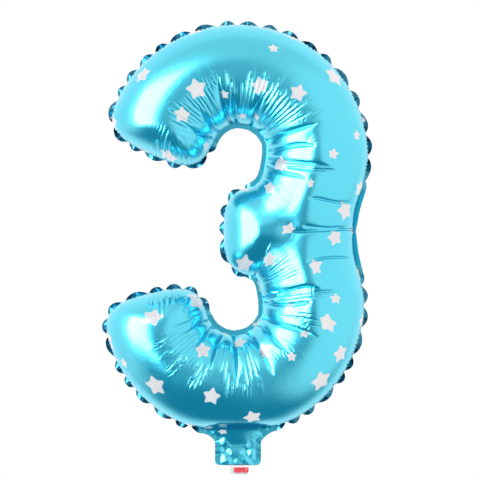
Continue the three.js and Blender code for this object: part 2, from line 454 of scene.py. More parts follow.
def pleat_fields(points, near_seam, dice):
    """The spare film round the bays, as a share of its length, and the ripple that starts the pleats."""
    spare = np.zeros(len(points))
    ripple = np.zeros(len(points))
    for bay in (UPPER_BAY, LOWER_BAY):
        rel = points - bay
        away = np.linalg.norm(rel, axis=1)
        angle = np.arctan2(rel[:, 1], rel[:, 0])
        ragged = ragged_wave(angle, 90, dice)
        crest = LOBE + 2 + 9 * ragged
        rim = 25.0
        inward = np.clip((crest - away) / (crest - rim), 0, 1)
        here = 0.24 * np.sin(math.pi * inward**0.7) ** 0.8 * smooth(inward, 0, 0.12)
        # They die out towards the middle arm.
        towards_arm = np.degrees(angle) * (1 if bay is UPPER_BAY else -1)
        here = here * (1 - 0.9 * (1 - smooth(towards_arm, -50, -10)))
        here = np.where(away < crest, here, 0)
        fine = np.sin(wave_phase(angle, 104, dice))
        coarse = np.sin(wave_phase(angle, 52, dice))
        mix = smooth(away, 36, 50)
        start = (fine * mix * 0.22 + coarse * (1 - mix) * 0.32) * here / 0.24
        ripple = np.where(here > spare, start, ripple)
        spare = np.maximum(spare, here)
    # Fine level wrinkles behind the middle arm, where the tube bends the other way.
    middle = (UPPER_BAY[1] + LOWER_BAY[1]) / 2
    level = 0.07 * np.exp(-(((points[:, 1] - middle) / 34) ** 2)) * smooth(points[:, 0], 48, 62)
    level = level * (1 - smooth(near_seam, 0.55, 0.85))
    wrinkle = np.sin(points[:, 1] * 2 * math.pi / 3.1 + 0.5 * np.sin(points[:, 0] / 6))
    ripple = ripple + 0.12 * wrinkle * level / 0.07
    return np.maximum(spare, level), ripple


def wave_phase(angle, count, dice):
    """A phase that gains count turns all round, unevenly."""
    cuts = np.cumsum(dice.uniform(0.65, 1.35, count))
    cuts = cuts / cuts[-1] * 2 * math.pi - math.pi
    return np.interp(angle, cuts, np.arange(count) * 2 * math.pi)


def ragged_wave(angle, count, dice):
    """Uneven teeth round a bay, from -1 to 1."""
    heights = dice.uniform(-1, 1, count + 1)
    heights[-1] = heights[0]
    return np.interp(angle, np.linspace(-math.pi, math.pi, count + 1), heights)


class Crumple:
    """Random sharp folds, as in film that a hand has pinched, from about -1 to 1."""

    def __init__(self, scale, dice, folds=9):
        self.scale = scale
        self.ways = dice.uniform(0, math.pi, folds)
        self.lengths = scale * dice.uniform(0.6, 1.6, folds)
        self.phases = dice.uniform(0, 1, folds)

    def at(self, points):
        total = np.zeros(len(points))
        for way, length, phase in zip(self.ways, self.lengths, self.phases):
            along = points @ np.array([math.cos(way), math.sin(way)])
            aside = points @ np.array([-math.sin(way), math.cos(way)])
            bend = 0.4 * self.scale * np.sin(aside / (1.7 * self.scale))
            total += np.abs(((along + bend) / length + phase) % 1 * 2 - 1) * 2 - 1
        return total / math.sqrt(len(self.ways))


crumple_dice = np.random.default_rng(23)
coarse_crumple = Crumple(10.0, crumple_dice)
fine_crumple = Crumple(4.5, crumple_dice)


def tail_crumple(points):
    """How far the pinched tail and the neck's sides stand forward or back at each point."""
    x = np.abs(points[:, 0])
    z = points[:, 1]
    rise = np.clip(z, 0, 20)
    beside_bulge = smooth(x, 3 + rise * 0.9, 9 + rise) * (1 - smooth(z, 8, 17))
    beside = smooth(x, 4, 13)
    tail = 0.75 * (1 - smooth(z, -8 + 7 * beside, 1 + 12 * beside))
    share = np.clip(tail + beside_bulge, 0, 1)
    return share * (0.52 * coarse_crumple.at(points) + 0.14 * fine_crumple.at(points))


# ---- The petals of the seam ----


class Petals:
    """The weld folds over at each cusp, and stands out as a rounded petal between two cusps."""

    def __init__(self, line, step, dice):
        way = np.gradient(line, axis=0)
        self.way = way / np.linalg.norm(way, axis=1)[:, None]
        self.out = np.stack([self.way[:, 1], -self.way[:, 0]], 1)
        if (self.out * slope("whole", line)).sum() > 0:
            self.out = -self.out
        eased = averaged(self.way, int(5 / step), 2)
        turning = np.gradient(np.unwrap(np.arctan2(eased[:, 1], eased[:, 0]))) / step
        turning = turning * np.sign(turning[len(turning) // 4])
        height = line[:, 1]
        slack = np.interp(turning, [-0.014, -0.004, 0.006, 0.035], [0.0, 0.4, 1.0, 1.3])
        slack = np.where(height < 7, 0.0, slack)
        # The weld lies smooth and flat where the tube bends the other way.
        middle = (UPPER_BAY[1] + LOWER_BAY[1]) / 2
        waist = np.exp(-(((height - middle) / 38) ** 4)) * smooth(line[:, 0], 60, 80)
        self.waist = waist
        self.slack = averaged(np.clip(slack - waist, 0, 1.3), int(3 / step))
        reach = step * np.arange(len(line))
        cuts = [0.0]
        while cuts[-1] < reach[-1]:
            cuts.append(cuts[-1] + dice.uniform(12.5, 22.5))
        cuts = np.array(cuts)
        count = np.interp(reach, cuts, np.arange(len(cuts)))
        which = np.clip(np.floor(count).astype(int), 0, len(cuts) - 2)
        self.share = count - which
        # The weld stands on edge at each cusp, towards one side or the other, and opens between them.
        side = np.where(dice.uniform(0, 1, len(cuts)) < 0.7, 1.0, -1.0)
        upright = np.arccos(np.clip(np.sin(math.pi * self.share) ** 0.72, 0, 1)) * 0.92
        towards = np.where(self.share < 0.5, side[which], side[which + 1])
        lean = np.radians(dice.uniform(-14, 14, len(cuts)))[which] * np.sin(math.pi * self.share)
        self.lean = (upright * towards + lean) * np.minimum(self.slack, 1) - math.radians(26) * waist
        self.deep = dice.uniform(0.7, 1.3, len(cuts))[which]
        # The seam itself dips inwards at a cusp and sways to one side or the other between two.
        dip = (1 - np.sin(math.pi * self.share)) ** 2.5 * self.deep
        self.dip = 1.1 * dip * self.slack
        # A level crease runs out through the waist, and the seam kinks in at its end.
        kink = 2.2 * np.exp(-np.abs(height - LEVEL_CREASES[0][0]) / 6)
        self.dip = self.dip + kink * smooth(waist, 0.2, 0.6)
        sway = 0.8 * towards * (1 - np.sin(math.pi * self.share)) * self.slack
        self.sway = averaged(sway, max(1, int(1.2 / step))) - 3.5 * waist

    def seam_offset(self):
        return np.stack(
            [-self.out[:, 0] * self.dip, self.sway, -self.out[:, 1] * self.dip],
            1,
        )

    def weld(self, seam, line, rows):
        """Rows of points from the seam, where it has settled, out to the weld's edge."""
        height = line[:, 1]
        low_share = np.clip((TAIL_FOOT + TAIL_CORNER - height) / TAIL_CORNER, 0, 1)
        width = np.where(height < 0, SEAM - TAIL_CORNER * (1 - np.sqrt(1 - low_share**2)), SEAM)
        bulge = 1.3 * np.sin(math.pi * self.share) ** 0.5 - 0.9
        width = width + bulge * np.minimum(self.slack, 1)
        width = width + 0.8 * self.waist + 0.8 * np.clip(0.3 - self.slack, 0, 1) * (height > 60)
        made = []
        for row in range(1, rows + 1):
            part = row / rows
            lean = self.lean * (0.55 + 0.45 * part)
            flat = np.cos(lean) * width * part
            place = seam + np.stack(
                [self.out[:, 0] * flat, np.sin(lean) * width * part, self.out[:, 1] * flat], 1
            )
            made.append(place)
        return made


# ---- The simulation ----


def unique_edges(triangles, count):
    """Each edge once, and the pairs of points that face each other across an edge."""
    edges = np.concatenate([triangles[:, [0, 1]], triangles[:, [1, 2]], triangles[:, [2, 0]]])
    facing = np.concatenate([triangles[:, 2], triangles[:, 0], triangles[:, 1]])
    edges.sort(1)
    key = edges[:, 0].astype(np.int64) * count + edges[:, 1]
    order = np.argsort(key, kind="stable")
    key, edges, facing = key[order], edges[order], facing[order]
    first = np.nonzero(np.concatenate([[True], key[1:] != key[:-1]]))[0]
    shared = first[np.diff(np.concatenate([first, [len(key)]])) >= 2]
    return edges[first], np.stack([facing[shared], facing[shared + 1]], 1)


def normals_of(place, triangles):
    a, b, c = (place[triangles[:, k]] for k in range(3))
    face = np.cross(b - a, c - a)
    total = np.empty_like(place)
    for axis in range(3):
        total[:, axis] = np.bincount(triangles.ravel(), np.repeat(face[:, axis], 3), len(place))
    return total / np.maximum(np.linalg.norm(total, axis=1), 1e-9)[:, None]


def gather(pull, ends, count):
    """The sum of every pull at each point."""
    both = np.concatenate([pull, -pull])
    total = np.empty((count, 3), np.float32)
    for axis in range(3):
        total[:, axis] = np.bincount(ends, both[:, axis], count)
    return total


def settle(place, rest_place, triangles, spare, way, sureness, held, held_at, pushes, steps):
    """Lets the film find its own shape: full lengths, air pressure, and folds that don't turn too sharp."""
    count = len(place)
    edges, across = unique_edges(triangles, count)

    def film_length(pairs):
        run = rest_place[pairs[:, 1]] - rest_place[pairs[:, 0]]
        length = np.linalg.norm(run, axis=1)
        agree = np.where((way[pairs[:, 0]] * way[pairs[:, 1]]).sum(1) < 0, -1, 1)[:, None]
        mean_way = way[pairs[:, 0]] + agree * way[pairs[:, 1]]
        mean_way /= np.maximum(np.linalg.norm(mean_way, axis=1), 1e-6)[:, None]
        cosine = (run[:, [0, 2]] * mean_way).sum(1) / np.maximum(length, 1e-6)
        sure = (sureness[pairs[:, 0]] + sureness[pairs[:, 1]]) / 2
        share = sure * cosine**2 + (1 - sure) * 0.5
        return (length * (1 + share * (spare[pairs[:, 0]] + spare[pairs[:, 1]]) / 2)).astype(np.float32)

    edge_length = film_length(edges)
    fold_length = 0.93 * film_length(across)
    edge_ends = np.concatenate([edges[:, 0], edges[:, 1]])
    fold_ends = np.concatenate([across[:, 0], across[:, 1]])
    edge_share = (1.5 / np.bincount(edge_ends, minlength=count)).astype(np.float32)[:, None]
    fold_share = (0.6 / np.maximum(np.bincount(fold_ends, minlength=count), 1)).astype(np.float32)[:, None]
    place = place.astype(np.float32)
    last = place.copy()
    for step in range(steps):
        if step % 5 == 0:
            push = (normals_of(place, triangles) * pushes[:, None]).astype(np.float32)
        moved = place + 0.8 * (place - last) + push + held * (held_at - place)
        last = place
        place = moved
        for _ in range(2):
            run = place[edges[:, 1]] - place[edges[:, 0]]
            length = np.sqrt((run * run).sum(1))
            pull = (0.5 * (length - edge_length) / np.maximum(length, 1e-6))[:, None] * run
            place = place + gather(pull, edge_ends, count) * edge_share
        run = place[across[:, 1]] - place[across[:, 0]]
        length = np.sqrt((run * run).sum(1))
        pull = (0.5 * np.minimum(length - fold_length, 0) / np.maximum(length, 1e-6))[:, None] * run
        place = place + gather(pull, fold_ends, count) * fold_share
    return place.astype(float)


AIR_PUSH = 0.012  # how far the pressure moves free film in one step
CREASE_PULL = 0.07
WELD_ROWS = 4


def make_film(step, steps, seed=11):
    """Both settled sheets and their weld: the points' places, settled and flat, and the triangles."""
    dice = np.random.default_rng(seed)
    flat, triangles, seam_count, rim_count = cut_film(step)
    line = flat[:seam_count]
    shape, near_seam = lay_over(flat)
    shape[:rim_count, 1] = 0
    petals = Petals(line, step, dice)

    inner = np.arange(rim_count, len(flat))
    to_back = np.arange(len(flat))
    to_back[inner] = len(flat) + np.arange(len(inner))
    all_flat = np.concatenate([flat, flat[inner]])
    front = shape * [1, -1, 1]
    rest_place = np.concatenate([front, shape[inner]])
    sheets = np.concatenate([triangles, to_back[triangles][:, ::-1]])
    facing = normals_of(rest_place, sheets)
    if facing[: len(flat)][shape[:, 1].argmax()][1] > 0:
        triangles = triangles[:, ::-1]
        sheets = sheets[:, ::-1]
        facing = -facing

    # Spare film: round the bays, towards the seam, and in the creases.
    nearest = np.empty(len(flat), int)
    some = np.arange(0, seam_count, 4)
    for first in range(0, len(flat), 8000):
        apart = ((flat[first : first + 8000, None] - line[None, some]) ** 2).sum(2)
        nearest[first : first + 8000] = some[apart.argmin(1)]
    beside = np.clip(nearest[:, None] + np.arange(-3, 4), 0, seam_count - 1)
    apart = ((flat[:, None] - line[beside]) ** 2).sum(2)
    nearest = beside[np.arange(len(flat)), apart.argmin(1)]
    towards_seam = 0.15 * petals.slack[nearest] * smooth(near_seam, 0.5, 0.95)
    hair = np.sin(wave_phase(nearest * step / 160 - math.pi, 320, dice))
    hair = 0.08 * hair * petals.slack[nearest] * smooth(near_seam, 0.6, 0.85)
    spare_front, ripple_front = pleat_fields(flat, near_seam, dice)
    spare_back, ripple_back = pleat_fields(flat, near_seam, dice)
    crease_room = 0.12 * creased(flat, 2.0)

    def total_spare(bays):
        return np.maximum(np.maximum(bays, towards_seam), crease_room) + 0.01

    spare = np.concatenate([total_spare(spare_front), total_spare(spare_back)[inner]])
    rise = slope("body", all_flat)
    steep = np.linalg.norm(rise, axis=1)
    way = np.stack([-rise[:, 1], rise[:, 0]], 1) / np.maximum(steep, 1e-6)[:, None]
    sureness = np.clip(steep * 40, 0, 1)

    # Where the film starts: rippled, dipped in at each cusp, and never quite even.
    offset = petals.seam_offset()
    carried = offset[nearest] * smooth(near_seam, 0.62, 1.0)[:, None]
    carried[:seam_count] = offset
    carried[seam_count:rim_count] = 0
    ripple = np.concatenate([ripple_front + hair, (ripple_back + hair)[inner]])
    place = rest_place + facing * ripple[:, None]
    place = place + np.concatenate([carried, carried[inner]])
    place = place + dice.normal(0, 0.03, place.shape)

    count = len(place)
    seam_rows = np.arange(rim_count)
    held = np.full((count, 1), 0.006, np.float32)
    held_at = rest_place.astype(np.float32)
    held_at[:rim_count] += carried[:rim_count].astype(np.float32)
    held[seam_rows] = 0.12
    pushes = np.full(count, AIR_PUSH)
    pushes[seam_rows] = 0
    deep = creased(all_flat, 0.7)
    pushes = pushes * (1 - np.minimum(deep * 3, 1)) - CREASE_PULL * deep
    # The tail and the sides of the neck hold no air.
    limp = 1 - smooth(all_flat[:, 1], 0, 14)
    pushes = pushes * (1 - limp)
    held[:, 0] = np.maximum(held[:, 0], 0.08 * limp)
    # The V above the neck is drawn in by the tail, so the air can't round it out.
    drawn_in = (1 - smooth(np.abs(all_flat[:, 0]), 8, 40)) * (1 - smooth(all_flat[:, 1], 4, 36))
    pushes = pushes * (1 - 0.7 * drawn_in)
    held[:, 0] = np.maximum(held[:, 0], 0.06 * drawn_in**1.5)

    place = settle(place, rest_place, sheets, spare, way, sureness, held, held_at, pushes, steps)

    # The tail and the neck's sides are crumpled, and both plies follow the same folds.
    place[:, 1] += tail_crumple(all_flat)

    # The weld, one row after another, is shared by both sheets.
    seam = place[:seam_count]
    rows = petals.weld(seam, line, WELD_ROWS)
    edge_crumple = 0.5 * fine_crumple.at(line + petals.out * SEAM) * (1 - smooth(line[:, 1], 2, 14))
    for number, row in enumerate(rows, 1):
        row[:, 1] += edge_crumple * number / WELD_ROWS
    place = np.concatenate([place, *rows])
    weld = []
    inner_row = np.arange(seam_count)
    for number in range(WELD_ROWS):
        outer_row = count + number * seam_count + np.arange(seam_count)
        weld.append(np.stack([inner_row[:-1], outer_row[:-1], outer_row[1:]], 1))
        weld.append(np.stack([inner_row[:-1], outer_row[1:], inner_row[1:]], 1))
        inner_row = outer_row
    weld = np.concatenate(weld)
    weld_width = np.concatenate(
        [line + petals.out * (SEAM * (number + 1) / WELD_ROWS) for number in range(WELD_ROWS)]
    )
    row_share = np.arange(1, WELD_ROWS + 1) / WELD_ROWS
    return {
        "place": place,
        "front": triangles,
        "back": to_back[triangles][:, ::-1],
        "weld": weld,
        "flat": np.concatenate([all_flat, weld_width]),
        "pucker": np.concatenate([np.zeros(count), np.tile(np.minimum(petals.slack, 1), WELD_ROWS)]),
        "welded": np.concatenate([np.zeros(count), np.repeat(row_share, seam_count)]),
    }


film = make_film(0.8, 240)


# ---- The two sheets as meshes ----

PLY_GAP = 0.22  # between the two plies of the weld and the tail, so that their faces don't meet


def facing_way(triangles, place, wanted):
    """The triangles, turned over if they don't face the wanted way along y on the whole."""
    a, b, c = (place[triangles[:, k]] for k in range(3))
    total = np.cross(b - a, c - a)[:, 1].sum()
    return triangles if total * wanted > 0 else triangles[:, ::-1]


def sheet_mesh(name, side):
    """One sheet with its ply of the weld, a little to its own side of the other's."""
    body = film["front"] if side < 0 else film["back"]
    triangles = np.concatenate(
        [facing_way(body, film["place"], side), facing_way(film["weld"], film["place"], side)]
    )
    used = np.unique(triangles)
    number = np.full(len(film["place"]), -1)
    number[used] = np.arange(len(used))
    place = film["place"][used].copy()
    place[:, 1] += side * PLY_GAP / 2
    mesh = bpy.data.meshes.new(name)
    faces = number[triangles]
    mesh.vertices.add(len(place))
    mesh.vertices.foreach_set("co", (place * MM).astype(np.float32).ravel())
    mesh.loops.add(faces.size)
    mesh.loops.foreach_set("vertex_index", faces.ravel().astype(np.int32))
    mesh.polygons.add(len(faces))
    mesh.polygons.foreach_set("loop_start", np.arange(0, faces.size, 3, dtype=np.int32))
    mesh.polygons.foreach_set("use_smooth", np.ones(len(faces), bool))
    mesh.update(calc_edges=True)
    mesh.validate()
    piece = bpy.data.objects.new(name, mesh)
    bpy.context.scene.collection.objects.link(piece)
    return piece, used, faces


# ---- The printed stars ----

# The print has three sizes of star: the width, how far apart stars of that size keep, and how many.
STAR_SIZES = [(17, 42, 10), (14, 21, 29), (8, 13, 22)]


def scattered_stars(dice):
    """One sheet's stars as (middle on the flat film, width, turn in degrees), evenly scattered."""
    stars = []
    for size, apart, wanted in STAR_SIZES:
        tries = 0
        while wanted and tries < 4000:
            tries += 1
            spot = np.array([dice.uniform(low[0], high[0]), dice.uniform(0, high[2])])
            if read("whole", spot[None])[0] < 0.02:
                continue
            if all(np.linalg.norm(spot - other) > apart * 0.5 + width * 0.7 for other, width, _ in stars):
                stars.append((spot, size, dice.uniform(-20, 20)))
                wanted -= 1
    return stars


def across_tube(spot):
    """The direction across the tube at one point: the one in which the fullness bends the most."""
    reach = 4.0
    rise_x = (slope("body", spot[None] + [reach, 0]) - slope("body", spot[None] - [reach, 0]))[0]
    rise_z = (slope("body", spot[None] + [0, reach]) - slope("body", spot[None] - [0, reach]))[0]
    bending = np.array([rise_x, rise_z])
    values, ways = np.linalg.eigh((bending + bending.T) / 2)
    return ways[:, values.argmin()]


def star_coordinates(piece, used, faces, stars):
    """A UV map in which each face is measured from its nearest star, in star widths."""
    flat = film["flat"][used]
    corners = flat[faces]
    middle = corners.mean(1)
    best = np.full(len(faces), np.inf)
    coordinates = np.zeros((len(faces), 3, 2))
    for spot, width, turn in stars:
        across = across_tube(spot)
        level = np.array([across[1], -across[0]])
        apart = np.linalg.norm(middle - spot, axis=1) / width
        closer = (apart < best) & (apart < 1.5)
        best = np.where(closer, apart, best)
        rel = corners[closer] - spot
        # The film is longer across the tube than its plan is wide, by half pi on a round tube.
        stretch = math.pi / 2 if spot[1] > 8 else 1.0
        local = (rel @ level)[..., None] * level + stretch * (rel @ across)[..., None] * across
        angle = math.radians(turn)
        spin = np.array([[math.cos(angle), -math.sin(angle)], [math.sin(angle), math.cos(angle)]])
        coordinates[closer] = local @ spin / width
    coordinates[best > 1.4] = 3.0
    layer = piece.data.uv_layers.new(name="print")
    layer.data.foreach_set("uv", coordinates.astype(np.float32).ravel())


star_dice = np.random.default_rng(41)
front_sheet, front_used, front_faces = sheet_mesh("front_foil_sheet", -1)
back_sheet, back_used, back_faces = sheet_mesh("back_foil_sheet", 1)
star_coordinates(front_sheet, front_used, front_faces, scattered_stars(star_dice))
star_coordinates(back_sheet, back_used, back_faces, scattered_stars(star_dice))

for piece, used in ((front_sheet, front_used), (back_sheet, back_used)):
    for name in ("welded", "pucker"):
        layer = piece.data.attributes.new(name, "FLOAT", "POINT")
        layer.data.foreach_set("value", film[name][used].astype(np.float32))


# ---- Materials ----


def new_group(name, inputs, outputs):
    """A shader node group: inputs are (name, kind, value), outputs are (name, kind)."""
    group = bpy.data.node_groups.new(name, "ShaderNodeTree")
    for label, kind, value in inputs:
        socket = group.interface.new_socket(name=label, in_out="INPUT", socket_type=kind)
        if value is not None:
            socket.default_value = value
    for label, kind in outputs:
        group.interface.new_socket(name=label, in_out="OUTPUT", socket_type=kind)
    return group, group.nodes.new("NodeGroupInput"), group.nodes.new("NodeGroupOutput")


def value_or_link(tree, socket, source):
    if isinstance(source, bpy.types.NodeSocket):
        tree.links.new(source, socket)
    elif source is not None:
        socket.default_value = source


def math_node(tree, operation, *sources, clamp=False):
    node = tree.nodes.new("ShaderNodeMath")
    node.operation = operation
    node.use_clamp = clamp
    for socket, source in zip(node.inputs, sources):
        value_or_link(tree, socket, source)
    return node.outputs[0]


def ramp(tree, source, from_low, from_high, to_low=0.0, to_high=1.0):
    node = tree.nodes.new("ShaderNodeMapRange")
    node.interpolation_type = "SMOOTHSTEP"
    tree.links.new(source, node.inputs["Value"])
    for label, value in (
        ("From Min", from_low),
        ("From Max", from_high),
        ("To Min", to_low),
        ("To Max", to_high),
    ):
        value_or_link(tree, node.inputs[label], value)
    return node.outputs["Result"]


def mix_colour(tree, share, first, second):
    node = tree.nodes.new("ShaderNodeMix")
    node.data_type = "RGBA"
    value_or_link(tree, node.inputs[0], share)
    value_or_link(tree, node.inputs[6], first)
    value_or_link(tree, node.inputs[7], second)
    return node.outputs[2]


def noise(tree, vector, scale, detail=3.0, distortion=0.0):
    node = tree.nodes.new("ShaderNodeTexNoise")
    tree.links.new(vector, node.inputs["Vector"])
    value_or_link(tree, node.inputs["Scale"], scale)
    node.inputs["Detail"].default_value = detail
    node.inputs["Distortion"].default_value = distortion
    return node.outputs["Fac"]


def star_print():
    """One on a five-pointed star one unit wide round the middle of its coordinates, nought elsewhere."""
    group, given, wanted = new_group(
        "star_print",
        [("Place", "NodeSocketVector", None), ("Softness", "NodeSocketFloat", 0.03)],
        [("Mask", "NodeSocketFloat")],
    )
    parts = group.nodes.new("ShaderNodeSeparateXYZ")
    group.links.new(given.outputs["Place"], parts.inputs[0])
    x, y = parts.outputs[0], parts.outputs[1]
    squares = [math_node(group, "MULTIPLY", part, part) for part in (x, y)]
    away = math_node(group, "SQRT", math_node(group, "ADD", *squares))
    angle = math_node(group, "ADD", math_node(group, "ARCTAN2", x, y), math.pi / 5 + 4 * math.pi)
    folded = math_node(group, "FLOORED_MODULO", angle, 2 * math.pi / 5)
    folded = math_node(group, "ABSOLUTE", math_node(group, "SUBTRACT", folded, math.pi / 5))
    point = np.array([0.526, 0.0])
    notch = 0.305 * np.array([math.cos(math.pi / 5), math.sin(math.pi / 5)])
    edge = notch - point
    normal = np.array([edge[1], -edge[0]]) / np.linalg.norm(edge)
    if normal @ point < 0:
        normal = -normal
    px = math_node(group, "MULTIPLY", away, math_node(group, "COSINE", folded))
    py = math_node(group, "MULTIPLY", away, math_node(group, "SINE", folded))
    beyond = math_node(
        group,
        "ADD",
        math_node(group, "MULTIPLY", px, float(normal[0])),
        math_node(group, "MULTIPLY", py, float(normal[1])),
    )
    beyond = math_node(group, "SUBTRACT", beyond, float(normal @ point))
    # The points are a little blunt.
    blunt = math_node(group, "SUBTRACT", away, 0.475)
    beyond = math_node(group, "MAXIMUM", beyond, blunt)
    softness = given.outputs["Softness"]
    within = math_node(group, "MULTIPLY", beyond, -1.0)
    inside = ramp(group, within, math_node(group, "MULTIPLY", softness, -1.0), softness)
    group.links.new(inside, wanted.inputs["Mask"])
    return group


def film_crinkle():
    """Fine creases and slow waves in thin film, as a height, and a slow tone over the surface."""
    group, given, wanted = new_group(
        "film_crinkle",
        [("Crease Scale", "NodeSocketFloat", 220.0), ("Wave Scale", "NodeSocketFloat", 40.0)],
        [("Height", "NodeSocketFloat"), ("Tone", "NodeSocketFloat")],
    )
    place = group.nodes.new("ShaderNodeTexCoord").outputs["Object"]
    creases = noise(group, place, given.outputs["Crease Scale"], 4.0, 0.6)
    ridges = math_node(group, "ABSOLUTE", math_node(group, "SUBTRACT", creases, 0.5))
    waves = noise(group, place, given.outputs["Wave Scale"], 2.0)
    height = math_node(group, "ADD", math_node(group, "MULTIPLY", ridges, 0.5), waves)
    group.links.new(height, wanted.inputs["Height"])
    tone = noise(group, place, 9.0, 2.0)
    group.links.new(ramp(group, tone, 0.3, 0.7), wanted.inputs["Tone"])
    return group


def place_group(tree, group, **values):
    node = tree.nodes.new("ShaderNodeGroup")
    node.node_tree = group
    for label, value in values.items():
        value_or_link(tree, node.inputs[label.replace("_", " ")], value)
    return node


def new_material(name):
    material = bpy.data.materials.new(name)
    material.use_nodes = True
    tree = material.node_tree
    return material, tree, tree.nodes["Principled BSDF"]


def bump(tree, shader, height, distance, strength=1.0):
    node = tree.nodes.new("ShaderNodeBump")
    node.inputs["Distance"].default_value = distance
    node.inputs["Strength"].default_value = strength
    tree.links.new(height, node.inputs["Height"])
    tree.links.new(node.outputs["Normal"], shader.inputs["Normal"])


STAR_PRINT = star_print()
FILM_CRINKLE = film_crinkle()


def attribute(tree, name):
    node = tree.nodes.new("ShaderNodeAttribute")
    node.attribute_name = name
    return node.outputs["Fac"]


def printed_foil():
    """Cyan lacquer over bright metal, with matt pale stars printed on it."""
    material, tree, shader = new_material("printed_cyan_foil")
    crinkle = place_group(tree, FILM_CRINKLE, Crease_Scale=230.0, Wave_Scale=34.0)
    place = tree.nodes.new("ShaderNodeUVMap")
    place.uv_map = "print"
    star = place_group(tree, STAR_PRINT, Place=place.outputs["UV"], Softness=0.035).outputs["Mask"]
    lacquer = mix_colour(tree, crinkle.outputs["Tone"], (0.05, 0.53, 0.68, 1), (0.07, 0.57, 0.71, 1))
    welded = attribute(tree, "welded")
    pucker = attribute(tree, "pucker")
    # The weld is painted darker, a little all along it and most where its petals fold: painted shade,
    # standing in for the dark room that the folded petals reflect. The same mask thins the coat there.
    folded = math_node(tree, "MULTIPLY_ADD", pucker, 0.85, 0.08)
    weld_dull_and_shade = math_node(tree, "MULTIPLY", ramp(tree, welded, 0.0, 0.35), folded)
    lacquer = mix_colour(tree, weld_dull_and_shade, lacquer, (0.008, 0.11, 0.19, 1))
    # The ink is thin, so that the lacquer's tone shows a little in it.
    ink = mix_colour(tree, crinkle.outputs["Tone"], (0.70, 0.645, 0.65, 1), (0.74, 0.68, 0.685, 1))
    tree.links.new(mix_colour(tree, star, lacquer, ink), shader.inputs["Base Color"])
    tree.links.new(math_node(tree, "SUBTRACT", 1.0, star), shader.inputs["Metallic"])
    gloss = math_node(tree, "MULTIPLY_ADD", crinkle.outputs["Tone"], 0.05, 0.24)
    gloss = math_node(tree, "MULTIPLY_ADD", star, 0.28, gloss)
    tree.links.new(gloss, shader.inputs["Roughness"])
    shader.inputs["Specular Tint"].default_value = (0.5, 0.9, 1.0, 1)
    tree.links.new(math_node(tree, "MULTIPLY_ADD", weld_dull_and_shade, -0.6, 0.8), shader.inputs["Coat Weight"])
    shader.inputs["Coat IOR"].default_value = 1.65
    shader.inputs["Coat Roughness"].default_value = 0.19
    bump(tree, shader, crinkle.outputs["Height"], 0.0003)
    return material


def thin_film(name, colour, deep_colour, transmission):
    """Limp plastic film with a slight milky tone and fine creases."""
    material, tree, shader = new_material(name)
    crinkle = place_group(tree, FILM_CRINKLE, Crease_Scale=420.0, Wave_Scale=120.0)
    tone = mix_colour(tree, crinkle.outputs["Height"], colour, deep_colour)
    tree.links.new(tone, shader.inputs["Base Color"])
    gloss = math_node(tree, "MULTIPLY_ADD", crinkle.outputs["Tone"], 0.08, 0.24)
    tree.links.new(gloss, shader.inputs["Roughness"])
    shader.inputs["Transmission Weight"].default_value = transmission
    shader.inputs["IOR"].default_value = 1.45
    bump(tree, shader, crinkle.outputs["Height"], 0.0004)
    return material


foil = printed_foil()
clear_film = thin_film("clear_valve_film", (0.86, 0.87, 0.87, 1), (0.74, 0.77, 0.78, 1), 0.35)
red_film = thin_film("red_release_print", (0.86, 0.07, 0.09, 1), (0.72, 0.03, 0.05, 1), 0.0)

for piece in (front_sheet, back_sheet):
    piece.data.materials.append(foil)

TAIL_BEND = ((0, 0, 6 * MM), (0, 0, -2 * MM))  # where the tail folds over at the neck

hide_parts("front_foil_panel", "tail_front_ply")
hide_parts("back_foil_panel", "tail_back_ply")
for piece in (front_sheet, back_sheet):
    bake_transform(piece)

# ---- The valve's films ----


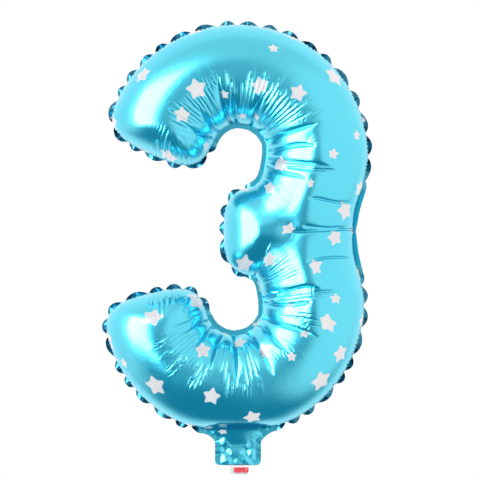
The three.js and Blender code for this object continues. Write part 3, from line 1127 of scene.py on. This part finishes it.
def film_strip_tree():
    """A thin strip of film hanging from its top edge, rippled and curled, with round lower corners."""
    tree = bpy.data.node_groups.new("film_strip", "GeometryNodeTree")
    face = tree.interface
    inputs = [
        ("Width", "NodeSocketFloat", 0.017),
        ("Length", "NodeSocketFloat", 0.06),
        ("Thickness", "NodeSocketFloat", 0.0002),
        ("Top", "NodeSocketVector", (0, 0, 0)),
        ("Corner", "NodeSocketFloat", 0.002),
        ("Curl", "NodeSocketFloat", 0.0),
        ("Ripple", "NodeSocketFloat", 0.0001),
        ("Seed", "NodeSocketFloat", 1.0),
        ("Material", "NodeSocketMaterial", None),
    ]
    for label, kind, value in inputs:
        socket = face.new_socket(name=label, in_out="INPUT", socket_type=kind)
        if value is not None:
            socket.default_value = value
    face.new_socket(name="Geometry", in_out="OUTPUT", socket_type="NodeSocketGeometry")
    given = tree.nodes.new("NodeGroupInput")
    wanted = tree.nodes.new("NodeGroupOutput")

    size = tree.nodes.new("ShaderNodeCombineXYZ")
    tree.links.new(given.outputs["Width"], size.inputs["X"])
    tree.links.new(given.outputs["Thickness"], size.inputs["Y"])
    tree.links.new(given.outputs["Length"], size.inputs["Z"])
    strip = tree.nodes.new("GeometryNodeMeshCube")
    tree.links.new(size.outputs[0], strip.inputs["Size"])
    strip.inputs["Vertices X"].default_value = 15
    strip.inputs["Vertices Y"].default_value = 2
    strip.inputs["Vertices Z"].default_value = 21

    place = tree.nodes.new("GeometryNodeInputPosition").outputs[0]
    parts = tree.nodes.new("ShaderNodeSeparateXYZ")
    tree.links.new(place, parts.inputs[0])
    x, y, z = parts.outputs
    half_length = math_node(tree, "MULTIPLY", given.outputs["Length"], 0.5)
    down = math_node(tree, "SUBTRACT", half_length, z)
    share = math_node(tree, "DIVIDE", down, given.outputs["Length"])
    # The lower corners are round.
    to_foot = math_node(tree, "SUBTRACT", given.outputs["Length"], down)
    into = math_node(tree, "DIVIDE", to_foot, given.outputs["Corner"])
    into = math_node(tree, "SUBTRACT", 1.0, into, clamp=True)
    level = math_node(tree, "SUBTRACT", 1.0, math_node(tree, "MULTIPLY", into, into), clamp=True)
    round_off = math_node(tree, "SUBTRACT", 1.0, math_node(tree, "SQRT", level))
    half_width = math_node(tree, "MULTIPLY", given.outputs["Width"], 0.5)
    cut_off = math_node(tree, "MULTIPLY", round_off, given.outputs["Corner"])
    narrow = math_node(tree, "SUBTRACT", 1.0, math_node(tree, "DIVIDE", cut_off, half_width))
    new_x = math_node(tree, "MULTIPLY", x, narrow)
    # It curls forward or back towards its foot, and ripples.
    curl = math_node(tree, "MULTIPLY", given.outputs["Curl"], math_node(tree, "MULTIPLY", share, share))
    ripple = tree.nodes.new("ShaderNodeTexNoise")
    ripple.noise_dimensions = "4D"
    flat = tree.nodes.new("ShaderNodeCombineXYZ")
    tree.links.new(x, flat.inputs["X"])
    tree.links.new(down, flat.inputs["Z"])
    tree.links.new(flat.outputs[0], ripple.inputs["Vector"])
    tree.links.new(given.outputs["Seed"], ripple.inputs["W"])
    ripple.inputs["Scale"].default_value = 260.0
    wave = math_node(tree, "SUBTRACT", ripple.outputs["Fac"], 0.5)
    wave = math_node(tree, "MULTIPLY", wave, given.outputs["Ripple"])
    wave = math_node(tree, "MULTIPLY", wave, math_node(tree, "MULTIPLY", share, 4.0, clamp=True))
    new_y = math_node(tree, "ADD", math_node(tree, "ADD", y, curl), wave)
    moved = tree.nodes.new("ShaderNodeCombineXYZ")
    tree.links.new(new_x, moved.inputs["X"])
    tree.links.new(new_y, moved.inputs["Y"])
    tree.links.new(math_node(tree, "MULTIPLY", down, -1.0), moved.inputs["Z"])
    set_place = tree.nodes.new("GeometryNodeSetPosition")
    tree.links.new(strip.outputs["Mesh"], set_place.inputs["Geometry"])
    tree.links.new(moved.outputs[0], set_place.inputs["Position"])
    hang = tree.nodes.new("GeometryNodeTransform")
    tree.links.new(set_place.outputs[0], hang.inputs["Geometry"])
    tree.links.new(given.outputs["Top"], hang.inputs["Translation"])
    realize = tree.nodes.new("GeometryNodeRealizeInstances")
    tree.links.new(hang.outputs[0], realize.inputs[0])
    coat = tree.nodes.new("GeometryNodeSetMaterial")
    tree.links.new(realize.outputs[0], coat.inputs["Geometry"])
    tree.links.new(given.outputs["Material"], coat.inputs["Material"])
    tree.links.new(coat.outputs[0], wanted.inputs[0])
    return tree


FILM_STRIP = film_strip_tree()


def film_strip(name, body, bend, node, slot, material, **values):
    """One strip of valve film, made by the tree and kept as a plain mesh.

    It rides one body; given two bodies it is left where it stands.
    """
    holder = bpy.data.objects.new(name + "_maker", bpy.data.meshes.new(name + "_start"))
    bpy.context.scene.collection.objects.link(holder)
    maker = holder.modifiers.new("film_strip", "NODES")
    maker.node_group = FILM_STRIP
    sockets = {
        item.name: item.identifier
        for item in FILM_STRIP.interface.items_tree
        if item.item_type == "SOCKET" and item.in_out == "INPUT"
    }
    for label, value in values.items():
        maker[sockets[label]] = value
    maker[sockets["Material"]] = material
    bpy.context.view_layer.update()
    mesh = bpy.data.meshes.new_from_object(holder.evaluated_get(bpy.context.evaluated_depsgraph_get()))
    bpy.data.objects.remove(holder)
    mesh.name = name
    place = np.empty(len(mesh.vertices) * 3, np.float32)
    mesh.vertices.foreach_get("co", place)
    place = place.reshape(-1, 3)
    # It follows the folds of the tail round it.
    place[:, 1] += tail_crumple(place[:, [0, 2]] / MM) * MM
    mesh.vertices.foreach_set("co", place.ravel())
    mesh.polygons.foreach_set("use_smooth", np.ones(len(mesh.polygons), bool))
    mesh.update()
    piece = bpy.data.objects.new(name, mesh)
    bpy.context.scene.collection.objects.link(piece)
    if len(body) == 2:
        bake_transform(piece)
    else:
        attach(piece, *body)
    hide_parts(node)
    return piece


def strip_in(node, name, body, slot, material, y, top=None, foot=None, bend=None, **values):
    """A strip as wide as a valve node at the depth y, from its top to its foot unless others are given."""
    near, far = (np.array(corner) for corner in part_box(node))
    top = far[2] if top is None else top
    foot = near[2] if foot is None else foot
    place = (float((near[0] + far[0]) / 2 + values.pop("Aside", 0.0)), y, float(top))
    sizes = {"Width": far[0] - near[0], "Length": top - foot}
    sizes.update(values)
    sizes = {label: float(value) for label, value in sizes.items()}
    return film_strip(name, body, bend, node, slot, material, Top=place, **sizes)


# The sleeve reaches up to where the tail's bend starts, and the flap goes on from there.
FLAP_FOOT = 7 * MM
# The ends start just below the sleeve's foot, so that they have room to bend.
END_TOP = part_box("valve_end_clear")[1][2] - 0.4 * MM

strip_in(
    "valve_flap_front", "front_valve_flap", ["flap_front"], "clear_film", clear_film, -0.3 * MM,
    foot=FLAP_FOOT, Ripple=0.0001, Seed=1.0,
)
strip_in(
    "valve_flap_back", "back_valve_flap", ["flap_back"], "clear_film", clear_film, 0.3 * MM,
    foot=FLAP_FOOT, Ripple=0.0001, Seed=2.0,
)
strip_in(
    "valve_sleeve_front", "front_valve_sleeve", ["envelope", "tail"], "clear_film", clear_film, -0.3 * MM,
    top=FLAP_FOOT, bend=TAIL_BEND, Ripple=0.0001, Seed=3.0,
)
strip_in(
    "valve_sleeve_back", "back_valve_sleeve", ["envelope", "tail"], "clear_film", clear_film, 0.3 * MM,
    top=FLAP_FOOT, bend=TAIL_BEND, Ripple=0.0001, Seed=4.0,
)
strip_in(
    "valve_end_clear", "clear_valve_end", ["end_clear"], "clear_film", clear_film, 0.25 * MM,
    top=END_TOP, Ripple=0.0012, Curl=0.0006, Seed=5.0, Corner=0.0015,
)
strip_in(
    "valve_end_red", "red_valve_end", ["end_red"], "red_film", red_film, -0.15 * MM,
    top=END_TOP, Ripple=0.0008, Curl=-0.0007, Seed=6.0, Corner=0.0008, Aside=0.0025,
)

# ---- The floor and the lights ----


def pale_floor():
    """A wide pale floor well below the balloon, which hangs as if held up by hand."""
    mesh = bpy.data.meshes.new("floor")
    z = (low[2] - 330) * MM
    corners = [(-3, -3), (3, -3), (3, 3), (-3, 3)]
    mesh.from_pydata([(x, y, z) for x, y in corners], [], [(0, 1, 2, 3)])
    floor = bpy.data.objects.new("floor", mesh)
    bpy.context.scene.collection.objects.link(floor)
    paint, tree, shader = new_material("pale_floor")
    place = tree.nodes.new("ShaderNodeTexCoord").outputs["Object"]
    grain = noise(tree, place, 14.0)
    tone = mix_colour(tree, grain, (0.86, 0.86, 0.86, 1), (0.9, 0.9, 0.9, 1))
    tree.links.new(tone, shader.inputs["Base Color"])
    shader.inputs["Roughness"].default_value = 0.8
    mesh.materials.append(paint)
    # Mirror-bright film would show the whole floor, so only soft light from it reaches the balloon.
    floor.visible_glossy = False


def soft_light(name, place, aim, size, power):
    light = bpy.data.lights.new(name, "AREA")
    light.shape = "RECTANGLE"
    light.size, light.size_y = size
    light.energy = power
    holder = bpy.data.objects.new(name, light)
    holder.location = place
    holder.rotation_euler = (Vector(aim) - Vector(place)).to_track_quat("-Z", "Y").to_euler()
    bpy.context.scene.collection.objects.link(holder)
    return holder


def studio_walls():
    """A room with bright walls, and a dim blue-green side where the camera stands."""
    world = bpy.data.worlds.new("studio_walls")
    world.use_nodes = True
    tree = world.node_tree
    way = tree.nodes.new("ShaderNodeTexCoord").outputs["Generated"]
    total = None
    for direction, start, end, amount in WALLS:
        node = tree.nodes.new("ShaderNodeVectorMath")
        node.operation = "DOT_PRODUCT"
        tree.links.new(way, node.inputs[0])
        node.inputs[1].default_value = Vector(direction).normalized()
        part = ramp(tree, node.outputs["Value"], start, end, 0.0, amount)
        total = part if total is None else math_node(tree, "MAXIMUM", total, part)
    # A doorway far behind gives the back its darker band.
    node = tree.nodes.new("ShaderNodeVectorMath")
    node.operation = "DOT_PRODUCT"
    tree.links.new(way, node.inputs[0])
    node.inputs[1].default_value = Vector(DOORWAY[0]).normalized()
    shade = ramp(tree, node.outputs["Value"], DOORWAY[1], DOORWAY[2], 1.0, 0.25)
    total = math_node(tree, "MULTIPLY", total, shade)
    share = math_node(tree, "MINIMUM", total, 1.0)
    colour = mix_colour(tree, share, DIM_SIDE, (1.0, 1.0, 1.0, 1))
    background = tree.nodes["Background"]
    tree.links.new(colour, background.inputs["Color"])
    strength = math_node(tree, "MAXIMUM", total, 1.0)
    # The room behind looks plain white, however dim the walls are.
    seen = tree.nodes.new("ShaderNodeLightPath").outputs["Is Camera Ray"]
    plain = tree.nodes.new("ShaderNodeBackground")
    plain.inputs["Color"].default_value = (1, 1, 1, 1)
    plain.inputs["Strength"].default_value = 1.0
    both = tree.nodes.new("ShaderNodeMixShader")
    tree.links.new(seen, both.inputs[0])
    tree.links.new(background.outputs[0], both.inputs[1])
    tree.links.new(plain.outputs[0], both.inputs[2])
    tree.links.new(strength, background.inputs["Strength"])
    tree.links.new(both.outputs[0], tree.nodes["World Output"].inputs["Surface"])
    bpy.context.scene.world = world


# Each bright wall: the way to its middle, where its edge starts and ends as the cosine of the angle
# from there, and how bright it is.
WALLS = [
    ((0, 1, 0.3), -0.12, 0.45, 1.3),
    ((1, -0.5, 0.05), 0.38, 0.74, 1.3),
    ((-1, 0.15, 0.1), 0.45, 0.8, 1.2),
    ((0, -0.15, 1), 0.35, 0.8, 1.05),
    ((0.15, -1, 0.45), 0.5, 0.98, 0.36),
]

DOORWAY = ((0.12, 1, -0.1), 0.87, 0.975)  # the way to it, and its edge as for a wall
DIM_SIDE = (0.04, 0.33, 0.45, 1)

pale_floor()
studio_walls()
middle = (0, 0, 0.18)
# The window is bright in the film's mirror, and a gentler twin of it lights the matt ink.
window_place = (-1.02, -0.92, 0.42)
window_size = (1.15, 1.8)
window = soft_light("window_light", window_place, middle, window_size, 50)
window.visible_diffuse = False
window_glow = soft_light("window_glow", window_place, middle, window_size, 11)
window_glow.visible_glossy = False
bpy.context.scene.view_settings.view_transform = "Standard"
